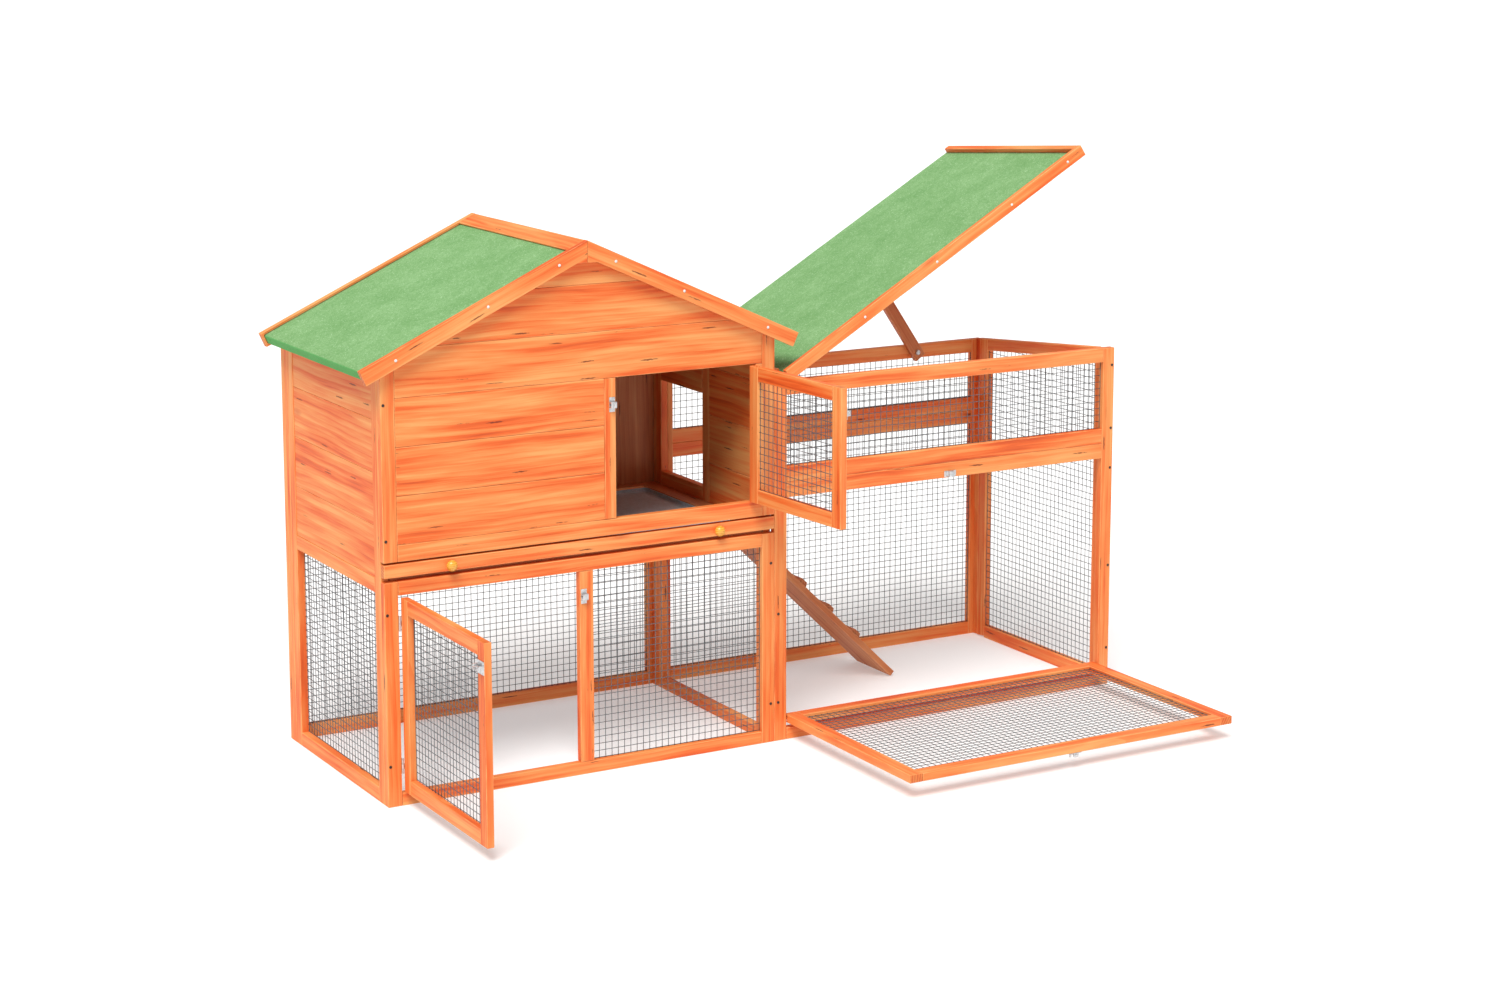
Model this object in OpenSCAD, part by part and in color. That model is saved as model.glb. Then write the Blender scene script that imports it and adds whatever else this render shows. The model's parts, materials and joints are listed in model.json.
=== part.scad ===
// Two-storey rabbit hutch: a gabled house over an open pen, with a mesh run beside it.
// Working frame of the modules: X to the right, Y to the back, Z up, and the origin at the
// front left ground corner of the house. place() moves it to the middle of the cross rail.

/* [House] */
// Width of the house
house_w = 753; // [700:1:820]
// Depth of the house and the run
house_d = 457; // [430:1:500]
// Height of the lower pen frame under the tray slot
pen_h = 388.4; // [370:0.2:400]
// Height where the upper front panel starts, above the tray slot
upper_z = 422; // [415:1:440]
// Height of the ridge, at the tip of the barge boards
ridge_z = 941.5; // [930:0.5:960]
// Pitch of the house roof in degrees
pitch = 24.6; // [23:0.1:26]

/* [Run] */
// Length of the run beside the house
run_l = 752.5; // [700:0.5:800]
// Height of the run at its front
run_front_h = 665; // [655:1:670]
// Height of the run at its back
run_back_h = 621; // [612:1:630]
// Height of the underside of the double rail across the run's front
run_mid_z = 449.7; // [440:0.1:455]

/* [Timber] */
// Width of the frame timber
stile_w = 25.5; // [24:0.5:28]
// Height of the upper rails
rail_h = 24; // [22:0.5:25]
// Height of the rails on the ground along the front
low_rail_h = 22; // [20:0.5:24]
// Thickness of the frame timber
frame_t = 15; // [14:0.5:16]
// Thickness of the hinged doors
door_t = 13; // [12:0.5:13.5]
// Thickness of the barge boards and the lid's edging
edge_t = 12.4; // [11:0.1:13]
// Thickness of the ramp board
ramp_t = 12; // [10:0.5:13]
// Hairline joint between neighbouring timbers
seam = 0.2; // [0.1:0.05:0.4]

/* [Doors] */
// Left side of the upper door's opening
upper_open_x = 435.4; // [430:0.2:445]
// Underside of the beam over the upper door
upper_open_top = 698.5; // [690:0.5:705]
// Left side of the stile between the lower door and the fixed mesh
mid_stile_x = 362.4; // [355:0.2:370]
// Gap between a door's hinge edge and the timber it hangs on
hinge_gap = 2.1; // [2:0.1:3]
// Gap round the other edges of a door
door_gap = 1.2; // [1:0.1:2]

/* [Opened parts] */
// Angle that the upper door stands open at, in degrees
upper_door_angle = 94.5; // [90:0.5:100]
// Angle that the run's lid stands open at, in degrees
lid_angle = 30.2; // [29:0.1:31]
// Lean of the prop, in degrees above level
prop_lean = 55.6; // [54:0.2:57]
// Slope of the ramp, in degrees
ramp_slope = 43.97; // [42:0.01:46]

/* [Hidden] */
$fn = 48;

fir = "#f08a4a";
shade_fir = "#c8642f";
felt_green = "#8fc585";
steel = "#c9ccce";
zinc = "#8e99a3";
amber = "#eeb040";

total_w = house_w + run_l;
origin_x = house_w - frame_t / 2;
origin_y = house_d / 2;
back_y = house_d - frame_t;
corner_d = 29.5;
inner_y = house_d - corner_d;
mesh_t = 0.6;
mesh_gap = 0.15;
mesh_set = 5;
mesh_flush = 0.4;
mesh_y = frame_t - mesh_set - mesh_t;
tan_p = tan(pitch);
apex_x = house_w / 2;
run_slope = (run_front_h - run_back_h) / house_d;
run_tilt = atan(run_slope);

// Height of the barge boards' upper edge above a place x across the house
function barge_top(x) = ridge_z - abs(x - apex_x) * tan_p;
barge_w = 27;
barge_drop = barge_w / cos(pitch);
felt_t = 2.4;
board_t = 10.4;
roof_top = 4;
roof_mid = roof_top + felt_t;
roof_low = roof_mid + board_t;
under_drop = roof_low / cos(pitch) + 0.3;
function roof_under(x) = barge_top(x) - under_drop;
function run_top(y) = run_front_h - run_slope * y;

module place() { translate([-origin_x, -origin_y, 0]) children(); }
module box(at, size) { translate(at) cube(size); }

// A frame standing in the XZ plane: two stiles the full height, and rails between them
module frame_xz(w, h, t, stile, bottom, top) {
  box([0, 0, 0], [stile, t, h]);
  box([w - stile, 0, 0], [stile, t, h]);
  box([stile + seam, 0, 0], [w - 2 * stile - 2 * seam, t, bottom]);
  box([stile + seam, 0, h - top], [w - 2 * stile - 2 * seam, t, top]);
}

// Outline of the gable between two places across the house, from height z up to the roof
module gable_slice(x0, x1, z, y0, y1) {
  mid = x0 < apex_x && x1 > apex_x ? [[apex_x, roof_under(apex_x)]] : [];
  translate([0, y1, 0]) rotate([90, 0, 0]) linear_extrude(y1 - y0)
    polygon(concat([[x0, z], [x0, roof_under(x0)]], mid, [[x1, roof_under(x1)], [x1, z]]));
}

// ---- house: side walls and pen ----

side_top = roof_under(0) - 0.9;
side_front_y = frame_t + seam;
side_stile_back = inner_y - stile_w;

module side_stiles() {
  box([0, side_front_y, 0], [frame_t, stile_w, side_top]);
  box([0, side_stile_back, 0], [frame_t, stile_w - seam, side_top]);
}
module side_rail(z, h) {
  y0 = side_front_y + stile_w + seam;
  box([0, y0, z], [frame_t, side_stile_back - seam - y0, h]);
}
side_rail_z = pen_h - rail_h;

module left_frame() {
  color(fir) place() {
    side_stiles();
    side_rail(0, stile_w);
    side_rail(side_rail_z, stile_w);
    box([0, inner_y, 0], [frame_t, corner_d - frame_t - seam, side_top - 11]);
  }
}

wall_z = side_rail_z + stile_w + seam;
plank_n = 4;
wall_skin = 1.2;

// Horizontal planks from place y0 to y1 of a side wall
module wall_planks(y0, y1, z0, z1, n) {
  h = (z1 - z0) / n;
  for (i = [0 : n - 1])
    box([wall_skin, y0, z0 + i * h], [frame_t - wall_skin, y1 - y0, h - seam]);
}

wall_y0 = side_front_y + stile_w + seam;
wall_y1 = side_stile_back - seam;

module left_wall_planks() { color(fir) place() wall_planks(wall_y0, wall_y1, wall_z, side_top, plank_n); }

module left_mesh() {
  color(steel) place()
    box([frame_t - mesh_flush - mesh_t, wall_y0, stile_w + mesh_gap],
        [mesh_t, wall_y1 - wall_y0, side_rail_z - stile_w - 2 * mesh_gap]);
}

pen_rail_z = pen_h - rail_h;
mid_stile_w = 26.6;

module front_pen_frame() {
  color(fir) place() {
    box([0, 0, 0], [stile_w, frame_t, pen_h]);
    box([house_w - stile_w, 0, 0], [stile_w - seam, frame_t, pen_h]);
    box([stile_w + seam, 0, 0], [house_w - 2 * stile_w - 2 * seam, frame_t, low_rail_h]);
    box([stile_w + seam, 0, pen_rail_z], [house_w - 2 * stile_w - 2 * seam, frame_t, rail_h]);
    box([mid_stile_x, 0, low_rail_h + seam],
        [mid_stile_w, frame_t, pen_rail_z - low_rail_h - 2 * seam]);
  }
}

module front_pen_mesh() {
  x0 = mid_stile_x + mid_stile_w + mesh_gap;
  x1 = house_w - stile_w - mesh_gap;
  color(steel) place()
    box([x0, mesh_y, low_rail_h + mesh_gap], [x1 - x0, mesh_t, pen_rail_z - low_rail_h - 2 * mesh_gap]);
}

module back_pen_frame() {
  color(fir) place() {
    box([0, back_y, 0], [stile_w, frame_t, side_top - 11]);
    box([house_w - stile_w, back_y, 0], [stile_w - seam, frame_t, side_top - 11]);
    box([stile_w + seam, back_y, 0], [house_w - 2 * stile_w - 2 * seam, frame_t, stile_w]);
    box([stile_w + seam, back_y, pen_rail_z], [house_w - 2 * stile_w - 2 * seam, frame_t, rail_h]);
  }
}

module back_pen_mesh() {
  color(steel) place()
    box([stile_w + mesh_gap, back_y + mesh_set, stile_w + mesh_gap],
        [house_w - 2 * stile_w - 2 * mesh_gap, mesh_t, pen_rail_z - stile_w - 2 * mesh_gap]);
}

right_x = house_w - frame_t;

// ---- house: right wall with the doorway into the run ----

door_y0 = 240;
door_y1 = side_stile_back;
door_z0 = 430;
door_z1 = 606;
door_stile_y = door_y0 - stile_w;
lining_t = 11;

// Lining boards round the doorway, on the run's side of the wall
module doorway_lining() {
  z0 = door_z0 - rail_h;
  h = door_z1 - door_z0 + 2 * rail_h;
  box([0.1, door_stile_y, z0], [lining_t, stile_w, h]);
  box([0.1, door_y1, z0], [lining_t, stile_w / 2, h]);
  box([0.1, door_y0 + seam, door_z1], [lining_t, door_y1 - door_y0 - 2 * seam, rail_h]);
}
module right_frame() {
  w = frame_t - seam;
  color(fir) place() {
    translate([right_x, 0, 0]) {
      box([0, side_front_y, 0], [w, stile_w, side_top]);
      box([0, side_stile_back, 0], [w, stile_w - seam, side_top]);
      box([0, inner_y, 0], [w, corner_d - frame_t - seam, side_top - 11]);
      box([0, wall_y0, 0], [w, wall_y1 - wall_y0, low_rail_h]);
      box([0, wall_y0, side_rail_z], [w, wall_y1 - wall_y0, stile_w]);
      box([0, door_stile_y, wall_z], [w, stile_w, side_top - wall_z]);
      box([0, door_y0 + seam, wall_z], [w, wall_y1 - door_y0 - seam, door_z0 - wall_z]);
    }
    translate([house_w, 0, 0]) doorway_lining();
  }
}

module right_wall_planks() {
  color(fir) place() translate([house_w - seam, 0, 0]) mirror([1, 0, 0]) {
    wall_planks(wall_y0, door_stile_y - seam, wall_z, side_top, plank_n);
    wall_planks(door_y0 + seam, wall_y1, door_z1, side_top, 2);
  }
}

// ---- house: floor ----

slat_h = 12.4;
slat_y = [frame_t + seam, 208, 358];
trim_w = 36;
trim_h = 10;
floor_z = 395.4;
floor_x0 = frame_t + 1.05;
floor_w = right_x - seam - floor_x0;
floor_y1 = back_y - 12 - 3 * seam;

// Bearers across the house, which carry the tray
module floor_slats() {
  color(shade_fir) place()
    for (y = slat_y)
      box([floor_x0, y, floor_z - slat_h], [floor_w, stile_w, slat_h]);
}
// Boards round the tray, which guide it
module floor_trims() {
  y0 = side_front_y + 1;
  color(shade_fir) place() translate([floor_x0, 0, floor_z + 0.1]) {
    box([0, y0, 0], [trim_w, floor_y1 - y0, trim_h]);
    box([floor_w - trim_w, y0, 0], [trim_w, floor_y1 - y0, trim_h]);
    box([trim_w + seam, floor_y1 - stile_w, 0], [floor_w - 2 * trim_w - 2 * seam, stile_w, trim_h]);
  }
}

// ---- house: front and back walls ----

sill_h = 28.5;
beam_z = upper_open_top;
door_stile_w = 21.6;
jamb_w = 13;
jamb_x = house_w - stile_w - seam - jamb_w;
plank_h = (beam_z - upper_z - sill_h) / 3;

module front_wall_frame() {
  xr = house_w - stile_w;
  color(fir) place() {
    gable_slice(0, stile_w, upper_z, 0, frame_t);
    gable_slice(xr, house_w - seam, upper_z, 0, frame_t);
    box([stile_w + seam, 0, upper_z], [xr - stile_w - 2 * seam, frame_t, sill_h]);
    box([upper_open_x - door_stile_w, 0, upper_z + sill_h + seam],
        [door_stile_w, frame_t, beam_z - upper_z - sill_h - 2 * seam]);
    box([jamb_x, 0, upper_z + sill_h + seam], [jamb_w, frame_t, beam_z - upper_z - sill_h - 2 * seam]);
  }
}

front_skin = 0.8;

module front_wall_planks() {
  x0 = stile_w + seam;
  x1 = house_w - stile_w - seam;
  xs = upper_open_x - door_stile_w - seam;
  color(fir) place() {
    for (i = [0 : 2])
      box([x0, front_skin, upper_z + sill_h + seam + i * plank_h],
          [xs - x0, frame_t - front_skin, plank_h - 2 * seam]);
    intersection() {
      gable_slice(x0, x1, beam_z, front_skin, frame_t);
      union()
        for (i = [0 : 2])
          box([0, 0, beam_z + i * plank_h], [house_w, frame_t, plank_h - seam]);
    }
  }
}

back_wall_y = back_y - 12 - seam;
back_plank_n = 8;

module back_wall_planks() {
  x0 = frame_t + seam;
  w = (house_w - 2 * frame_t - 2 * seam) / back_plank_n;
  color(shade_fir) place()
    for (i = [0 : back_plank_n - 1])
      gable_slice(x0 + i * w, x0 + (i + 1) * w - seam, pen_h + seam, back_wall_y, back_y - seam);
}

// ---- house: roof ----

roof_y0 = -2.5;
roof_y1 = house_d - 11.8;
eave_run = 417;
eave_s = eave_run / cos(pitch);

// A slab that lies along one slope of the roof: s0 to s1 down the slope from the ridge, and
// from h0 to h1 below the barge boards' upper edge. side is -1 for the left slope, 1 for the right.
module slope_slab(side, s0, s1, h0, h1, y0, y1) {
  translate([apex_x, 0, ridge_z]) mirror([side < 0 ? 1 : 0, 0, 0]) rotate([0, pitch, 0])
    box([s0, y0, -h1], [s1 - s0, y1 - y0, h1 - h0]);
}

ridge_gap = 0.3;
eave_back = 6;

panel_s = eave_s - eave_back;
lip_low = roof_low + 4.6;

module roof_board(side) {
  slope_slab(side, roof_low * tan_p + ridge_gap, panel_s, roof_mid, roof_low, roof_y0, roof_y1);
}
module felt_sheet(side) {
  slope_slab(side, roof_mid * tan_p + ridge_gap, panel_s, roof_top, roof_mid - 0.05, roof_y0, roof_y1);
  slope_slab(side, panel_s + 0.1, panel_s + 2, roof_top, lip_low, roof_y0, roof_y1);
}
module roof_board_left() { color(shade_fir) place() roof_board(-1); }
module roof_board_right() { color(shade_fir) place() roof_board(1); }
module roof_felt() { color(felt_green) place() for (side = [-1, 1]) felt_sheet(side); }

barge_mitre = 0.15;
barge_flat_z = 903;

// One barge board's outline: mitred at the ridge, cut level under it and square at the eave
module barge_outline() {
  flat_x = (ridge_z - barge_drop - barge_flat_z) / tan_p;
  end_x = eave_run;
  end_z = -eave_run * tan_p;
  polygon([
    [barge_mitre, -barge_mitre * tan_p], [end_x, end_z],
    [end_x - barge_w * sin(pitch), end_z - barge_w * cos(pitch)],
    [flat_x, barge_flat_z - ridge_z], [barge_mitre, barge_flat_z - ridge_z]
  ]);
}
module barge_pair(y0) {
  for (m = [0, 1])
    translate([apex_x, y0 + edge_t, ridge_z]) mirror([m, 0, 0]) rotate([90, 0, 0])
      linear_extrude(edge_t) barge_outline();
}
module barge_boards_front() { color(fir) place() barge_pair(roof_y0 - 0.1 - edge_t); }
module barge_boards_back() { color(fir) place() barge_pair(roof_y1 + 0.1); }

ridge_strip_w = 36;
module ridge_strips() {
  color(fir) place()
    for (side = [-1, 1])
      slope_slab(side, 4 * tan_p + ridge_gap, ridge_strip_w, 0, 3.9, roof_y0, roof_y1);
}

nail_r = 2.6;
nail_h = 1.2;
barge_nails = [53.5, 186, 353.5];
module nail(y) {
  translate([0, y, 0]) rotate([90, 0, 0]) cylinder(r1 = nail_r, r2 = nail_r * 0.75, h = nail_h, $fn = 24);
}

module white_nails() {
  nail_z = -barge_w / 2 / cos(pitch);
  color("white") place()
    for (m = [-1, 1])
      for (d = barge_nails)
        translate([apex_x + m * d, 0, ridge_z - d * tan_p + nail_z]) nail(roof_y0 - 0.15 - edge_t);
}

// ---- screws ----

screw_r = 2.6;
screw_h = 0.8;
house_screws = [[5, 71], [5, 333], [5, 459], [5, 689], [745.4, 72], [745.4, 333]];
run_screws_left = [72, 237, 445];
run_screws_right = [73.5, 237.7, 430, 507.6, 629.9];
module screw_head() { rotate([90, 0, 0]) cylinder(r1 = screw_r, r2 = screw_r * 0.6, h = screw_h, $fn = 24); }

module frame_screws() {
  color("#3a2418") place() {
    for (p = house_screws)
      translate([p[0], -0.1, p[1]]) screw_head();
    for (z = run_screws_left)
      translate([house_w + 8, -0.1, z]) screw_head();
    for (z = run_screws_right)
      translate([total_w - 5.5, -0.1, z]) screw_head();
  }
}

// ---- tray ----

tray_z0 = 395.5;
tray_z1 = 418.4;
pan_t = 1;
pan_lip = 8;
tray_y1 = floor_y1 - trim_w - 0.8;
tray_x0 = floor_x0 + trim_w + 1.2;
tray_x1 = floor_x0 + floor_w - trim_w - 1.2;
knob_x = [120.5, 637];
knob_r = 9.6;
knob_out = 5.2;

module tray_front() {
  color(fir) place() box([0.3, 0, tray_z0], [house_w - 0.9, frame_t - 0.4, tray_z1 - tray_z0]);
}

module tray_pan() {
  y0 = frame_t;
  w = tray_x1 - tray_x0;
  color(zinc) place() {
    box([tray_x0, y0, tray_z0], [w, tray_y1 - y0, pan_t]);
    box([tray_x0, y0, tray_z0 + pan_t], [pan_t, tray_y1 - y0, pan_lip]);
    box([tray_x1 - pan_t, y0, tray_z0 + pan_t], [pan_t, tray_y1 - y0, pan_lip]);
    box([tray_x0 + pan_t, tray_y1 - pan_t, tray_z0 + pan_t], [w - 2 * pan_t, pan_t, pan_lip]);
    box([tray_x0 + pan_t, y0, tray_z0 + pan_t], [w - 2 * pan_t, pan_t, pan_lip + 4]);
  }
}

module tray_knobs() {
  knob_z = (tray_z0 + tray_z1) / 2 - 1;
  color(amber) place()
    for (x = knob_x)
      translate([x, -0.1, knob_z]) rotate([90, 0, 0]) rotate_extrude() knob_profile();
}
// Turned knob: a ball that stands half proud of the board
module knob_profile() {
  intersection() {
    union() {
      square([6, 3]);
      translate([0, knob_out]) circle(knob_r);
    }
    square([knob_r + 1, 30]);
  }
}

// ---- hung doors ----

// A hinge: knuckles in front of the face and a leaf in the gap behind them
knuckle_r = 2;
knuckle_pin_r = 1.1;
knuckle_y = -1.76;
leaf_h = 26;
leaf_d = 12;
leaf_t = 0.8;
eye_h = 8;
hinge_inset = 32;
pin_clear = 0.05;

// The post's half of a hinge, with its pin standing at the origin and the post at +x
module hinge_post_half() {
  for (z = [0, leaf_h - eye_h])
    translate([0, 0, z]) cylinder(r = knuckle_r, h = eye_h, $fn = 32);
  cylinder(r = knuckle_pin_r, h = leaf_h, $fn = 32);
  box([hinge_gap - 1 - leaf_t, 0, 0], [leaf_t, leaf_d - knuckle_y, eye_h]);
  box([hinge_gap - 1 - leaf_t, 0, leaf_h - eye_h], [leaf_t, leaf_d - knuckle_y, eye_h]);
  box([hinge_gap - 1 - leaf_t, 2.2, 0], [leaf_t, leaf_d - knuckle_y - 2.2, leaf_h]);
}
// The door's half, with the door at -x while it is shut
module hinge_door_half() {
  h = leaf_h - 2 * eye_h - 0.6;
  translate([0, 0, eye_h + 0.3]) difference() {
    union() {
      cylinder(r = knuckle_r, h = h, $fn = 32);
      box([-0.9, 0, 0], [leaf_t, leaf_d - knuckle_y, h]);
    }
    translate([0, 0, -1]) cylinder(r = knuckle_pin_r + pin_clear, h = h + 2, $fn = 32);
  }
}

// A sliding bolt on a door's face, its tip along +x from the door's edge at the origin
bolt_r = 2.3;
bolt_y = -4.7;
bolt_len = 33;
case_w = 25;
case_h = 22;
strap_w = 3.5;
strap_h = 10;

module bolt_case() {
  translate([-case_w - 0.5, 0, 0]) difference() {
    union() {
      box([0, -1.1, -case_h / 2], [case_w, 1, case_h]);
      for (x = [0.5, case_w - strap_w - 0.5])
        box([x, -8.2, -strap_h / 2], [strap_w, 7.6, strap_h]);
    }
    translate([-1, bolt_y, 0]) rotate([0, 90, 0]) cylinder(r = bolt_r + 0.06, h = case_w + 2, $fn = 40);
  }
}
module bolt_rod() {
  translate([-0.6 - bolt_len, bolt_y, 0]) rotate([0, 90, 0]) cylinder(r = bolt_r, h = bolt_len, $fn = 40);
  translate([-19.3, bolt_y, 0]) rotate([90, 0, 0]) cylinder(r = 1.9, h = 8.4, $fn = 32);
}
// The keeper that a bolt runs into: a plate with a bridge across its middle
keeper_w = 11;
keeper_h = 26;
module bolt_keeper() {
  difference() {
    union() {
      box([0, -1.1, -keeper_h / 2], [keeper_w, 1, keeper_h]);
      box([0, -8.6, -strap_h / 2 - 0.5], [keeper_w, 8, strap_h + 1]);
    }
    translate([-1, bolt_y, 0]) rotate([0, 90, 0]) cylinder(r = bolt_r + 0.6, h = keeper_w + 2, $fn = 40);
  }
}

// A door while shut, in its own frame: hinge edge at x = 0, free edge at +x.
// back is how far its mesh stands in from the inner face.
module door_mesh(w, h, back) {
  box([stile_w + mesh_gap, door_t - back - mesh_t, stile_w + mesh_gap],
      [w - 2 * stile_w - 2 * mesh_gap, mesh_t, h - 2 * stile_w - 2 * mesh_gap]);
}
module door_leaves(h) {
  for (z = [hinge_inset, h - hinge_inset - leaf_h])
    translate([-1, knuckle_y, z]) mirror([1, 0, 0]) hinge_door_half();
}

upper_z0 = upper_z + sill_h + door_gap;
upper_h = beam_z - door_gap - upper_z0;
upper_hinge_x = jamb_x - hinge_gap;
upper_w = upper_hinge_x - upper_open_x - 3;
upper_bolt_z = 652;

// Puts a door's own frame at the upper opening, swung out to the front
module upper_swung() {
  place() translate([upper_hinge_x + 1, knuckle_y, upper_z0]) rotate([0, 0, upper_door_angle])
    translate([-1, -knuckle_y, 0]) mirror([1, 0, 0]) children();
}
module upper_door_frame() {
  color(fir) upper_swung() frame_xz(upper_w, upper_h, door_t, stile_w, stile_w, stile_w);
}
module upper_door_mesh() { color(steel) upper_swung() door_mesh(upper_w, upper_h, mesh_set); }
module upper_door_leaves() { color(steel) upper_swung() door_leaves(upper_h); }
module upper_bolt_case() {
  color(steel) upper_swung() translate([upper_w, 0, upper_bolt_z - upper_z0]) bolt_case();
}
module upper_bolt() {
  color(steel) upper_swung() translate([upper_w, 0, upper_bolt_z - upper_z0]) bolt_rod();
}

lower_z0 = low_rail_h + 3;
lower_h = pen_rail_z - 2.4 - lower_z0;
lower_hinge_x = stile_w + hinge_gap;
lower_w = mid_stile_x - 2.9 - lower_hinge_x;
lower_bolt_z = 320;

module lower_swung() {
  place() translate([lower_hinge_x - 1, knuckle_y, lower_z0]) rotate([0, 0, -90])
    translate([1, -knuckle_y, 0]) children();
}
module lower_door_frame() {
  color(fir) lower_swung() frame_xz(lower_w, lower_h, door_t, stile_w, stile_w, stile_w);
}
module lower_door_mesh() { color(steel) lower_swung() door_mesh(lower_w, lower_h, mesh_flush); }
module lower_door_leaves() { color(steel) lower_swung() door_leaves(lower_h); }
module lower_bolt_case() {
  color(steel) lower_swung() translate([lower_w, 0, lower_bolt_z - lower_z0]) bolt_case();
}
module lower_bolt() {
  color(steel) lower_swung() translate([lower_w, 0, lower_bolt_z - lower_z0]) bolt_rod();
}

// The posts' halves of both doors' hinges
module door_hinges() {
  color(steel) place() {
    for (z = [hinge_inset, upper_h - hinge_inset - leaf_h])
      translate([upper_hinge_x + 1, knuckle_y, upper_z0 + z]) hinge_post_half();
    for (z = [hinge_inset, lower_h - hinge_inset - leaf_h])
      translate([lower_hinge_x - 1, knuckle_y, lower_z0 + z]) mirror([1, 0, 0]) hinge_post_half();
  }
}

// ---- run ----

run_x0 = house_w + 0.2;
run_mid_h = 28.6;
run_down = 1.5;
run_mesh_z = run_mid_z + 2 * run_mid_h;
end_x = total_w - frame_t;

module run_front_frame() {
  xr = total_w - stile_w;
  x0 = run_x0 + stile_w + seam;
  w = xr - x0 - seam;
  color(fir) place() {
    box([run_x0, 0, 0], [stile_w, frame_t, run_front_h - run_down]);
    box([xr, 0, 0], [stile_w, frame_t, run_front_h - run_down]);
    box([x0, 0, 0], [w, frame_t, low_rail_h]);
    box([x0, 0, run_mid_z], [w, frame_t, run_mid_h - seam]);
    box([x0, 0, run_mid_z + run_mid_h], [w, frame_t, run_mid_h]);
    box([x0, 0, run_front_h - run_down - 27], [w, frame_t, 27]);
  }
}

module run_front_mesh() {
  x0 = run_x0 + stile_w + mesh_gap;
  x1 = total_w - stile_w - mesh_gap;
  z0 = run_mesh_z + mesh_gap;
  z1 = run_front_h - run_down - 27 - mesh_gap;
  color(steel) place() box([x0, mesh_y, z0], [x1 - x0, mesh_t, z1 - z0]);
}

// A bar whose top follows the slope of the run's top, h high, from y0 to y1
module sloped_rail(x, y0, y1, h, t) {
  z0 = run_top(y0) - run_down;
  z1 = run_top(y1) - run_down;
  translate([x, 0, 0]) rotate([90, 0, 90]) linear_extrude(t)
    polygon([[y0, z0 - h], [y1, z1 - h], [y1, z1], [y0, z0]]);
}

end_y0 = frame_t + seam;
end_y1 = back_y - seam;
module run_end_frame() {
  fy = end_y0 + stile_w;
  by = inner_y - stile_w;
  color(fir) place() {
    sloped_rail(end_x, end_y0, fy, run_top(fy) - 2, frame_t);
    sloped_rail(end_x, by, inner_y - seam, run_top(inner_y) - 2, frame_t);
    sloped_rail(end_x, inner_y, end_y1, run_top(end_y1) - 2, frame_t);
    sloped_rail(end_x, fy + seam, by - seam, rail_h, frame_t);
    box([end_x, fy + seam, 0], [frame_t, by - fy - 2 * seam, stile_w]);
  }
}

module run_end_mesh() {
  y0 = end_y0 + stile_w + mesh_gap;
  y1 = inner_y - stile_w - mesh_gap;
  z0 = stile_w + mesh_gap;
  up = -run_down - rail_h - 2 * mesh_gap;
  color(steel) place()
    translate([end_x + mesh_set, 0, 0]) rotate([90, 0, 90]) linear_extrude(mesh_t)
      polygon([[y0, z0], [y1, z0], [y1, run_top(y1) + up], [y0, run_top(y0) + up]]);
}

back_mid_z = 445;
back_mid_h = 27;
back_top_h = 27;
back_top_z = run_top(house_d) - run_down - back_top_h;

module run_back_frame() {
  xr = total_w - stile_w;
  x0 = run_x0 + stile_w + seam;
  w = xr - x0 - seam;
  top = run_top(house_d) - run_down;
  color(fir) place() {
    box([run_x0, back_y, 0], [stile_w, frame_t, top]);
    box([xr, back_y, 0], [stile_w, frame_t, top]);
    box([x0, back_y, 0], [w, frame_t, stile_w]);
    box([x0, back_y, back_mid_z], [w, frame_t, back_mid_h - seam]);
    box([x0, back_y, back_mid_z + back_mid_h], [w, frame_t, back_mid_h]);
    box([x0, back_y, back_top_z], [w, frame_t, back_top_h]);
  }
}

module run_back_mesh() {
  x0 = run_x0 + stile_w + mesh_gap;
  w = total_w - stile_w - mesh_gap - x0;
  y = back_y + mesh_set;
  z_up = back_mid_z + 2 * back_mid_h + mesh_gap;
  color(steel) place() {
    box([x0, y, stile_w + mesh_gap], [w, mesh_t, back_mid_z - stile_w - 2 * mesh_gap]);
    box([x0, y, z_up], [w, mesh_t, back_top_z - mesh_gap - z_up]);
  }
}

// ---- flap of the run ----

flap_x0 = run_x0 + stile_w + 2;
flap_x1 = total_w - stile_w - 2;
flap_w = flap_x1 - flap_x0;
flap_z0 = low_rail_h + 4;
flap_h = run_mid_z - 3.7 - flap_z0;
flap_bolt_x = 1130;
flap_pin_z = 8.5;
flap_pin_y = 4;
flap_pin_r = 2;
flap_pin_in = 12;

// Puts the flap's own frame, in which it stands shut, down to its level open place
module flap_down() {
  place() translate([flap_x0, flap_pin_y, flap_z0 + flap_pin_z]) rotate([90, 0, 0])
    translate([0, -flap_pin_y, -flap_pin_z]) children();
}
module flap_frame() {
  color(fir) flap_down() difference() {
    frame_xz(flap_w, flap_h, frame_t, stile_w, stile_w, stile_w);
    for (x = [-1, flap_w - flap_pin_in])
      translate([x, flap_pin_y, flap_pin_z]) rotate([0, 90, 0])
        cylinder(r = flap_pin_r + 0.08, h = flap_pin_in + 1, $fn = 32);
  }
}
module flap_mesh() {
  color(steel) flap_down()
    box([stile_w + mesh_gap, mesh_y, stile_w + mesh_gap],
        [flap_w - 2 * stile_w - 2 * mesh_gap, mesh_t, flap_h - 2 * stile_w - 2 * mesh_gap]);
}
module flap_pins() {
  len = flap_pin_in + 1.4;
  color(steel) place()
    for (x = [flap_x0 - 1.9, flap_x1 + 1.9 - len])
      translate([x, flap_pin_y, flap_z0 + flap_pin_z]) rotate([0, 90, 0])
        cylinder(r = flap_pin_r, h = len, $fn = 32);
}
module flap_bolt_place() {
  flap_down() translate([flap_bolt_x - flap_x0, 0, flap_h]) rotate([0, -90, 0]) children();
}
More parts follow.
